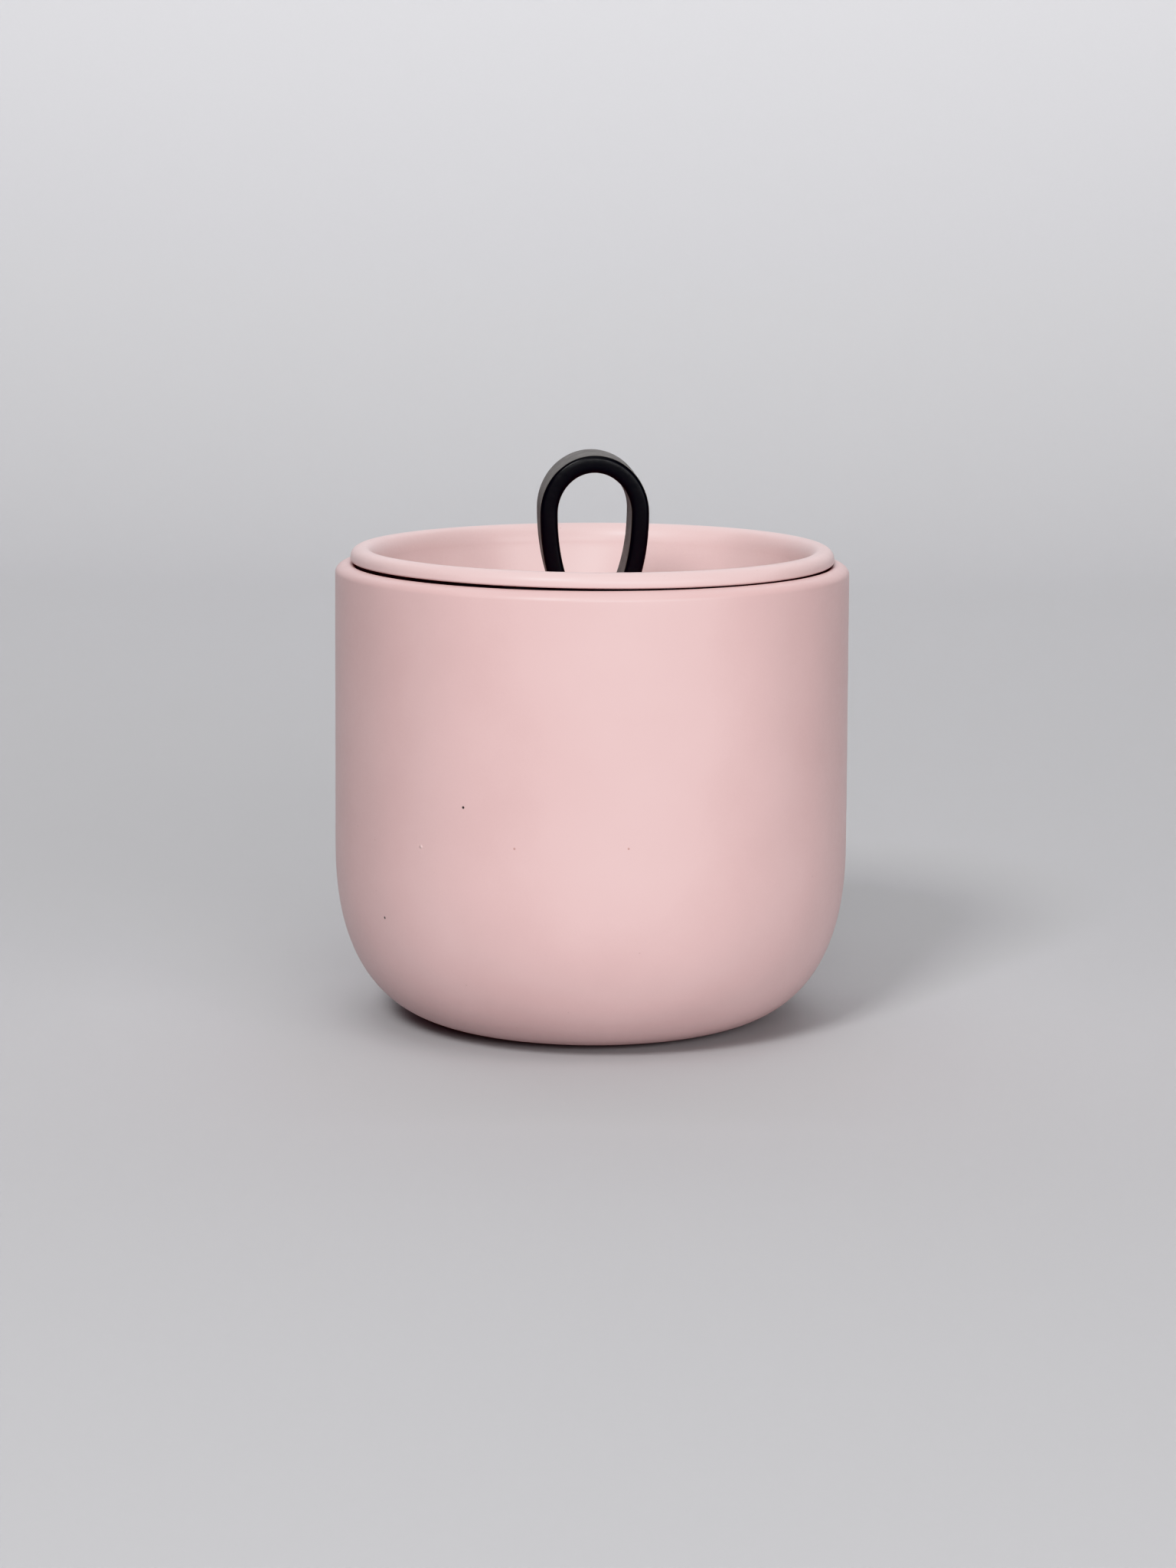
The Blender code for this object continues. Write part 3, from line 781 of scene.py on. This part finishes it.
def sweep_strap():
    """The strap's section along its middle line, with maps for the leather's grain and edges."""
    body = bmesh.new()
    grain_map = body.loops.layers.uv.new("strap")
    section_map = body.loops.layers.uv.new("section")
    place = handle_matrix(0)
    made = []
    for along, inset, point, direction in strap_rings():
        across = Vector((direction.y, -direction.x))
        section = strap_section(inset)
        ring = []
        for through, width in section:
            spot = point + across * through
            ring.append(body.verts.new(place @ Vector((spot.x, width, spot.y))))
        made.append((along, section, ring))
    around = [0.0]
    flat = strap_section(0.0)
    for first, second in zip(flat, flat[1:] + flat[:1]):
        around.append(around[-1] + math.dist(first, second))
    for (start, low, first), (end, high, second) in zip(made, made[1:]):
        for step in range(len(first)):
            following = (step + 1) % len(first)
            face = body.faces.new((first[step], first[following], second[following], second[step]))
            grain = (
                (around[step], start),
                (around[step + 1], start),
                (around[step + 1], end),
                (around[step], end),
            )
            places = (low[step], low[following], high[following], high[step])
            for loop, grain_place, section_place in zip(face.loops, grain, places):
                loop[grain_map].uv = grain_place
                loop[section_map].uv = section_place
    for _, section, ring in (made[0], made[-1]):
        cap = body.faces.new(ring)
        for loop, section_place in zip(cap.loops, section):
            loop[grain_map].uv = section_place
            loop[section_map].uv = section_place
    bmesh.ops.recalc_face_normals(body, faces=body.faces)
    mesh = bpy.data.meshes.new("strap")
    body.to_mesh(mesh)
    body.free()
    strap = bpy.data.objects.new("strap", mesh)
    bpy.context.scene.collection.objects.link(strap)
    return strap


def post_hole_cutter():
    """The post's hole through both legs of the strap."""
    radius, reach = POST_R + HOLE_PLAY, STRAP_THICK * 2
    outline = [(0.0, reach), (radius, reach), (radius, -reach), (0.0, -reach)]
    cutter = lathe("hole_cutter", outline, 48)
    cutter.matrix_world = handle_matrix(SCREW_Z) @ Matrix.Rotation(math.radians(90), 4, "Y")
    return cutter


# ---- screw post ---------------------------------------------------------------------------------------
def head_outline(stem_r):
    """A flat head with an eased edge and a slightly domed face, from its stem to its middle."""
    back = [
        (stem_r, HEAD_THICK),
        (HEAD_R - HEAD_BACK_EDGE, HEAD_THICK),
        (HEAD_R, HEAD_THICK - HEAD_BACK_EDGE),
    ]
    edge = ellipse_arc((HEAD_R - HEAD_EDGE, HEAD_EDGE), (HEAD_EDGE, HEAD_EDGE), 0, -90, 8)
    face = [(HEAD_R * share, -HEAD_DOME * (1 - share ** 2)) for share in (0.7, 0.5, 0.3, 0.1, 0.0)]
    return back + edge + face


def build_post(steel):
    """The hollow half, its head on the left face of the strap and its barrel through both legs."""
    length = 2 * STRAP_THICK + HEAD_THICK + 0.3 * MM
    bore_r, bore_z = SHANK_R + BORE_PLAY, HEAD_THICK + BORE_FLOOR
    barrel = [
        (0.0, bore_z),
        (bore_r, bore_z),
        (bore_r, length - BORE_FLARE[1]),
        (bore_r + BORE_FLARE[0], length),
        (POST_R - POST_EDGE, length),
        (POST_R, length - POST_EDGE),
    ]
    post = lathe("screw_post_fine", fine(barrel + head_outline(POST_R), longest=0.6 * MM), 96)
    face = Matrix.Translation((-STRAP_THICK - HEAD_GAP - HEAD_THICK, 0, 0))
    post.matrix_world = handle_matrix(SCREW_Z) @ face @ Matrix.Rotation(math.radians(90), 4, "Y")
    show(post, "lid", ["screw_post"], "post_metal", steel)
    return post


def thread(angle, radius, height):
    """A fine screw thread, on the shank only."""
    if radius < SHANK_R - 0.05 * MM or height < HEAD_THICK + 0.3 * MM or radius > POST_R:
        return radius, height
    turn = (height / THREAD_PITCH - angle / (2 * math.pi)) % 1.0
    return radius - THREAD_DEPTH * abs(2 * turn - 1), height


def drive_slot_cutter():
    """The screwdriver's slot across the head, a little wider at the face."""
    levels = (
        (DRIVE_EDGE, -0.3 * MM),
        (DRIVE_EDGE, -HEAD_DOME),
        (0.0, 0.05 * MM),
        (0.0, DRIVE_SLOT[1]),
    )
    rings = []
    for wider, height in levels:
        flat = rounded_rectangle(DRIVE_SLOT[0] / 2 + wider, HEAD_R * 1.3, 0.05 * MM, 2)
        rings.append([(x, y, height) for x, y in flat])
    return loft("drive_slot_cutter", rings)


def build_screw(steel):
    """The screw half, its head on the right face of the strap and its shank in the post's bore."""
    length = 2 * STRAP_THICK + HEAD_THICK - 0.3 * MM
    shank = [(0.0, length), (SHANK_R - SHANK_TIP, length), (SHANK_R, length - SHANK_TIP)]
    outline = fine(shank + head_outline(SHANK_R), longest=0.08 * MM)
    screw = lathe("post_screw_fine", outline, 72, shape=thread)
    cut_with(screw, drive_slot_cutter())
    screw.data.shade_smooth()
    screw.data.set_sharp_from_angle(angle=math.radians(40))
    face = Matrix.Translation((STRAP_THICK + HEAD_GAP + HEAD_THICK, 0, 0))
    turned = Matrix.Rotation(math.radians(-90), 4, "Y") @ Matrix.Rotation(DRIVE_TURN, 4, "Z")
    screw.matrix_world = handle_matrix(SCREW_Z) @ face @ turned
    show(screw, "lid", ["post_screw"], "post_metal", steel)
    return screw


# ---- stage, light and camera --------------------------------------------------------------------------
def stage_material():
    """Plain pale grey paper, painted paler up the sweep: painted light for the wall's brighter top."""
    material, tree, shader = new_material("pale_paper")
    place = coordinates(tree)
    parts = add(tree, "ShaderNodeSeparateXYZ", {0: place})
    grain = noise_value(tree, place, 900.0, 2.0)
    # Painted light: the paper's colour grows paler with height.
    rise = ranged(tree, parts.outputs[2], 0.0, PAPER_PAINTED_LIGHT_RISE)
    colour = mixed(tree, rise, PAPER_LOW, PAPER_PAINTED_LIGHT)
    colour = mixed(tree, ranged(tree, grain, 0.3, 0.7, 0.0, 0.03), colour, PAPER_GRAIN)
    feed(tree, shader, Base_Color=colour)
    shader.inputs["Roughness"].default_value = 0.9
    shader.inputs["Specular IOR Level"].default_value = 0.1
    return material


def build_stage():
    """A seamless sweep: floor, curve and wall."""
    flat_end = SWEEP_FAR - SWEEP_BEND
    line = [(SWEEP_NEAR, 0.0), (flat_end, 0.0)]
    line += ellipse_arc((flat_end, SWEEP_BEND), (SWEEP_BEND, SWEEP_BEND), -90, 0, 24)
    line += [(SWEEP_FAR, SWEEP_HEIGHT)]
    mesh = bpy.data.meshes.new("sweep")
    body = bmesh.new()
    sides = [[body.verts.new((x, y, z)) for y, z in line] for x in (-SWEEP_HALF, SWEEP_HALF)]
    for index in range(len(line) - 1):
        body.faces.new((sides[0][index], sides[1][index], sides[1][index + 1], sides[0][index + 1]))
    bmesh.ops.remove_doubles(body, verts=body.verts, dist=0.0001)
    bmesh.ops.recalc_face_normals(body, faces=body.faces)
    body.to_mesh(mesh)
    body.free()
    mesh.shade_smooth()
    sweep = bpy.data.objects.new("sweep", mesh)
    bpy.context.scene.collection.objects.link(sweep)
    sweep.data.materials.append(stage_material())


def soft_light(name, azimuth, elevation, distance, size, power):
    """An area light that faces the jar. Azimuth 0 is the front and grows towards +X; degrees."""
    light = bpy.data.lights.new(name, "AREA")
    light.shape = "RECTANGLE"
    light.size, light.size_y = size
    light.energy = power
    lamp = bpy.data.objects.new(name, light)
    bpy.context.scene.collection.objects.link(lamp)
    turn, rise = math.radians(azimuth), math.radians(elevation)
    away = Vector((math.sin(turn) * math.cos(rise), -math.cos(turn) * math.cos(rise), math.sin(rise)))
    target = Vector((0, 0, RIM_Z / 2))
    lamp.location = target + away * distance
    lamp.rotation_euler = away.to_track_quat("Z", "Y").to_euler()
    lamp.visible_camera = False
    return lamp


def build_lights():
    """Soft lights round the front, a wash down the sweep's wall and a dim room."""
    for values in LIGHTS:
        soft_light(*values)
    wash = soft_light("wall_wash", 180, 60, 1.0, WASH_SIZE, WASH_POWER)
    wash.location = WASH_PLACE
    wash.rotation_euler = (WASH_TILT, 0, 0)
    world = bpy.data.worlds.new("studio")
    world.use_nodes = True
    backdrop = world.node_tree.nodes["Background"]
    backdrop.inputs["Color"].default_value = (*ROOM, 1.0)
    backdrop.inputs["Strength"].default_value = ROOM_STRENGTH
    bpy.context.scene.world = world


def build_camera():
    """The camera in front of the jar, a little above it and looking slightly down."""
    data = bpy.data.cameras.new("camera")
    data.lens = CAMERA_LENS
    data.sensor_width = CAMERA_SENSOR
    data.sensor_fit = "AUTO"
    data.clip_start = 0.01
    camera = bpy.data.objects.new("camera", data)
    bpy.context.scene.collection.objects.link(camera)
    tilt = Matrix.Rotation(math.pi / 2 - CAMERA_PITCH, 4, "X") @ Matrix.Rotation(CAMERA_ROLL, 4, "Z")
    camera.matrix_world = Matrix.Translation(CAMERA_PLACE) @ tilt
    bpy.context.scene.camera = camera
    bpy.context.scene.view_settings.view_transform = "Khronos PBR Neutral"


def main():
    glaze = glaze_material("pink_glaze", JAR_PINKS, JAR_SPECKS, JAR_PIMPLES)
    # The lid's glaze is painted paler than the jar's: painted light for the dish's inside.
    lid_glaze = glaze_material("pink_lid_glaze", LID_PINKS_PAINTED_LIGHT)
    steel = nickel_material()
    build_jar(glaze, clay_material())
    build_lid(lid_glaze)
    build_seal(silicone_material())
    build_strap(leather_material())
    build_post(steel)
    build_screw(steel)
    build_stage()
    build_lights()
    build_camera()


main()
